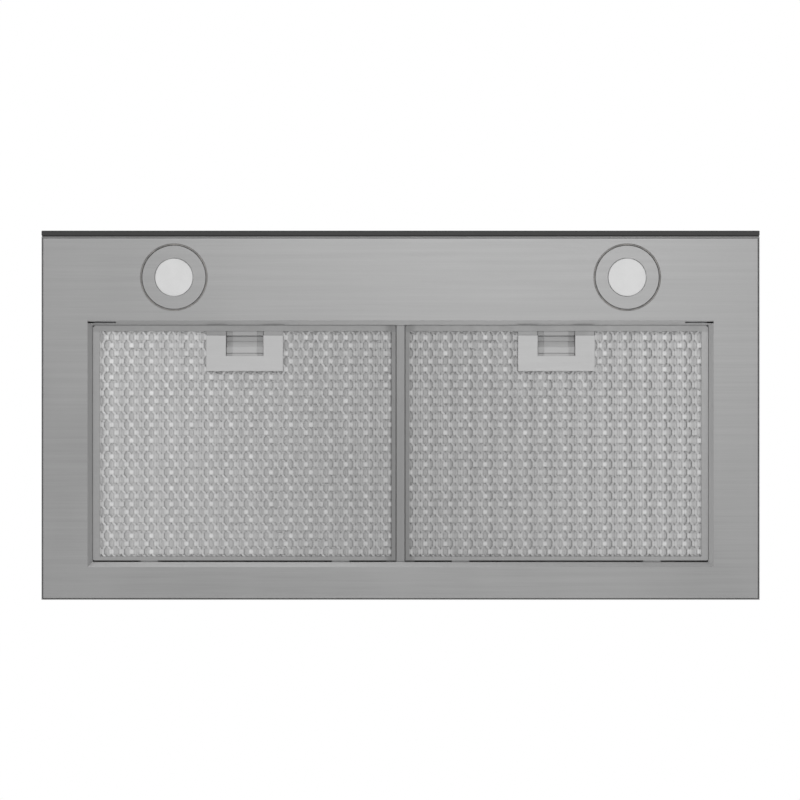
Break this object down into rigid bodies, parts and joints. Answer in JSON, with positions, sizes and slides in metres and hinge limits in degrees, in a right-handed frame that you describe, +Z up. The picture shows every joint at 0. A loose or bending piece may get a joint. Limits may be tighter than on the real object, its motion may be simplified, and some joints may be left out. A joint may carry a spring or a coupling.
{
  "type": "wall range hood",
  "caption": "T-shape wall hood: a flat brushed steel canopy with swing-down mesh grease filters, recessed lamps, a black glass front and a telescoping chimney.",
  "frame": {"origin": "middle of the canopy's lower rear edge, on the wall", "axes": "+X to the right of someone facing the hood in the room's view from below, along the canopy; +Y into the wall; +Z up"},
  "size_m": [0.898, 0.4617, 0.565],
  "materials": {
    "steel": "brushed stainless steel",
    "fascia_glass": "black back-painted glass",
    "lens": "frosted glass",
    "aluminium": "washed aluminium",
    "cast_aluminium": "plain cast aluminium",
    "zinc_steel": "zinc-coated steel sheet",
    "shaft_steel": "ground steel",
    "dark_plastic": "moulded",
    "grey_plastic": "moulded",
    "white_plastic": "moulded",
    "board": "circuit board",
    "rubber": "moulded"
  },
  "bodies": {
    "hood": {"canopy_shell": "steel", "underside_panel": "steel", "front_glass": "fascia_glass", "fascia_carrier": "dark_plastic", "control_housing": "dark_plastic", "touch_board": "board", "centre_rail": "steel", "filter_stop_rail": "zinc_steel", "blower_tower": "zinc_steel", "tower_cover": "zinc_steel", "scroll_right_half": "dark_plastic", "scroll_left_half": "dark_plastic", "motor_body": "cast_aluminium", "motor_bracket": "zinc_steel", "motor_mounts": "rubber", "capacitor": "white_plastic", "capacitor_clamp": "zinc_steel", "outlet_collar": "grey_plastic", "flap_pin": "shaft_steel", "lower_chimney_cover": "steel", "terminal_box": "dark_plastic", "terminal_cover": "dark_plastic", "cable_gland": "dark_plastic", "lamp_driver": "white_plastic", "lamp_bezel_left": "steel", "lamp_lens_left": "lens", "lamp_can_left": "cast_aluminium", "lamp_clips_left": "shaft_steel", "lamp_bezel_right": "steel", "lamp_lens_right": "lens", "lamp_can_right": "cast_aluminium", "lamp_clips_right": "shaft_steel"},
    "rotor": {"impeller": "grey_plastic", "motor_shaft": "shaft_steel"},
    "flap_front": {"flap_front": "grey_plastic"},
    "flap_rear": {"flap_rear": "grey_plastic"},
    "chimney_upper": {"upper_chimney_cover": "steel", "ceiling_bracket": "zinc_steel", "bracket_screws": "shaft_steel"},
    "filter_left": {"filter_frame_left": "aluminium", "filter_mesh_left": "aluminium", "filter_core_left": "aluminium", "filter_back_mesh_left": "aluminium", "latch_plate_left": "steel", "latch_spring_left": "shaft_steel"},
    "latch_left": {"latch_slider_left": "steel"},
    "filter_right": {"filter_frame_right": "aluminium", "filter_mesh_right": "aluminium", "filter_core_right": "aluminium", "filter_back_mesh_right": "aluminium", "latch_plate_right": "steel", "latch_spring_right": "shaft_steel"},
    "latch_right": {"latch_slider_right": "steel"}
  },
  "joints": [
    {"name": "filter_left_swing", "type": "hinge", "parent": "hood", "child": "filter_left", "pos_m": [-0.1952, -0.0487, 0.0062], "axis": [1, 0, 0], "range_deg": [0, 75]},
    {"name": "latch_left_slide", "type": "slide", "parent": "filter_left", "child": "latch_left", "axis": [0, 1, 0], "range_m": [0, 0.006], "stiffness_N_per_m": 300, "springref_m": -0.01, "deforming": ["latch_spring_left"]},
    {"name": "filter_right_swing", "type": "hinge", "parent": "hood", "child": "filter_right", "pos_m": [0.1952, -0.0487, 0.0062], "axis": [1, 0, 0], "range_deg": [0, 75]},
    {"name": "latch_right_slide", "type": "slide", "parent": "filter_right", "child": "latch_right", "axis": [0, 1, 0], "range_m": [0, 0.006], "stiffness_N_per_m": 300, "springref_m": -0.01, "deforming": ["latch_spring_right"]},
    {"name": "impeller_spin", "type": "hinge", "parent": "hood", "child": "rotor", "pos_m": [0, -0.146, 0.192], "axis": [1, 0, 0], "continuous": true},
    {"name": "flap_front_swing", "type": "hinge", "parent": "hood", "child": "flap_front", "pos_m": [0, -0.107, 0.364], "axis": [-1, 0, 0], "range_deg": [0, 80]},
    {"name": "flap_rear_swing", "type": "hinge", "parent": "hood", "child": "flap_rear", "pos_m": [0, -0.107, 0.364], "axis": [1, 0, 0], "range_deg": [0, 80]},
    {"name": "chimney_extend", "type": "slide", "parent": "hood", "child": "chimney_upper", "axis": [0, 0, 1], "range_m": [0, 0.3]}
  ]
}
